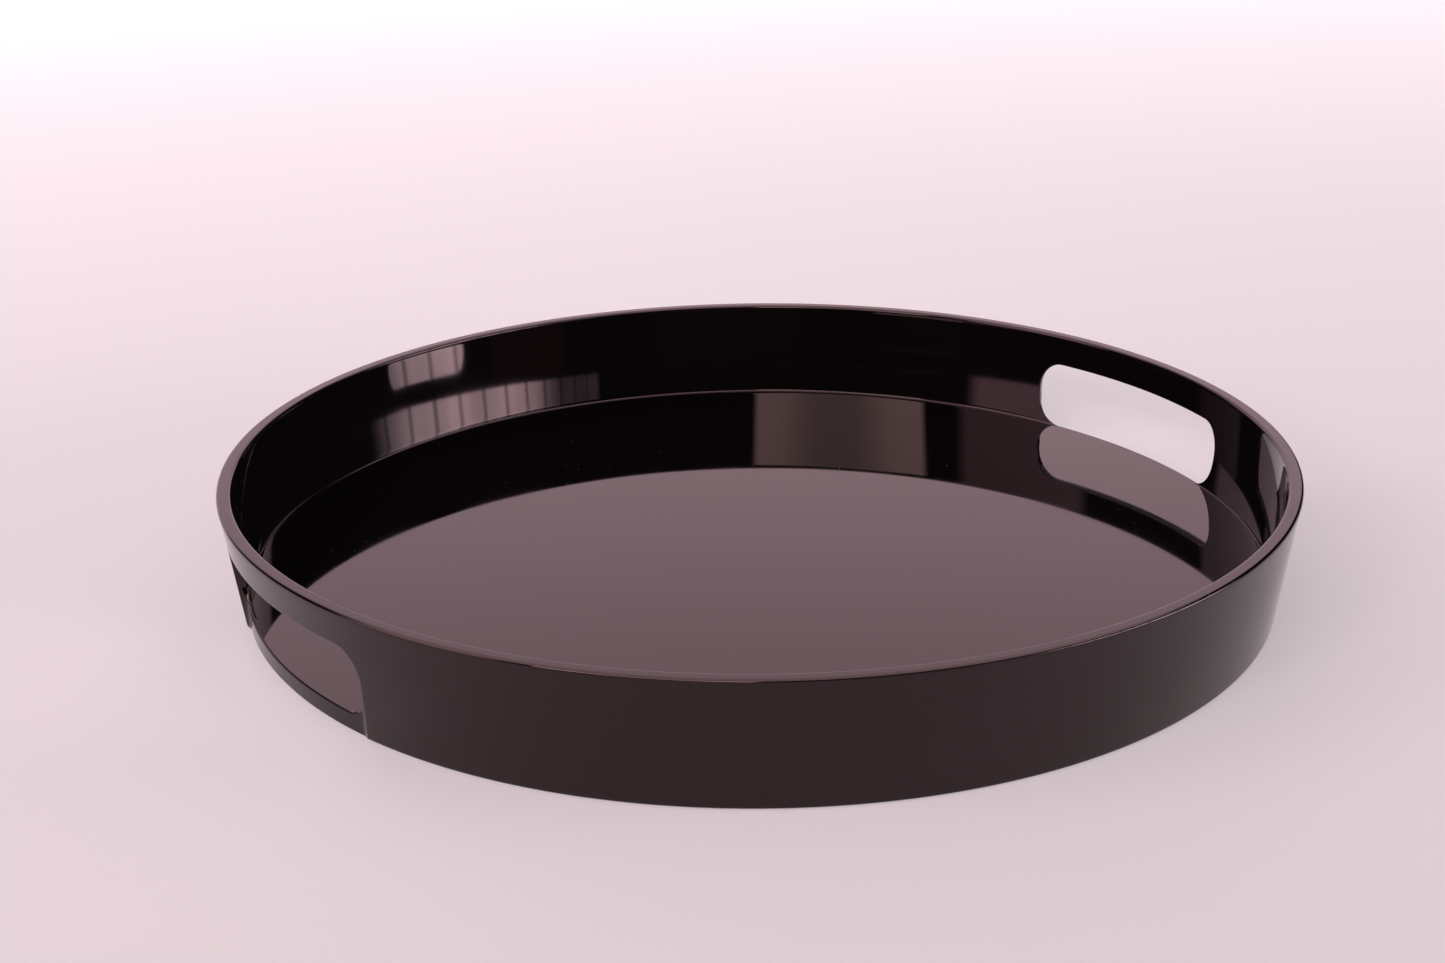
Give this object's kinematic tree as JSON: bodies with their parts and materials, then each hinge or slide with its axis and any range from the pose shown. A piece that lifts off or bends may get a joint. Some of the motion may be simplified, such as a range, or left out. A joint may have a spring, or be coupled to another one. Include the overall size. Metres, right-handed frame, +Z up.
{
  "type": "serving tray",
  "caption": "Round gloss serving tray with a raised flared wall, a flat floor, opposite hand slots cut through the wall, and non-slip pads underneath.",
  "frame": {"origin": "on the tray's axis, at the surface that the pads rest on", "axes": "+Z up along the tray's axis, the hand slots facing +X and -X"},
  "size_m": [0.38, 0.38, 0.0443],
  "materials": {
    "shell": "black, high gloss",
    "pad": "black, matt"
  },
  "bodies": {
    "root": {"tray_shell": "shell", "non_slip_pad_1": "pad", "non_slip_pad_2": "pad", "non_slip_pad_3": "pad", "non_slip_pad_4": "pad"}
  },
  "joints": []
}
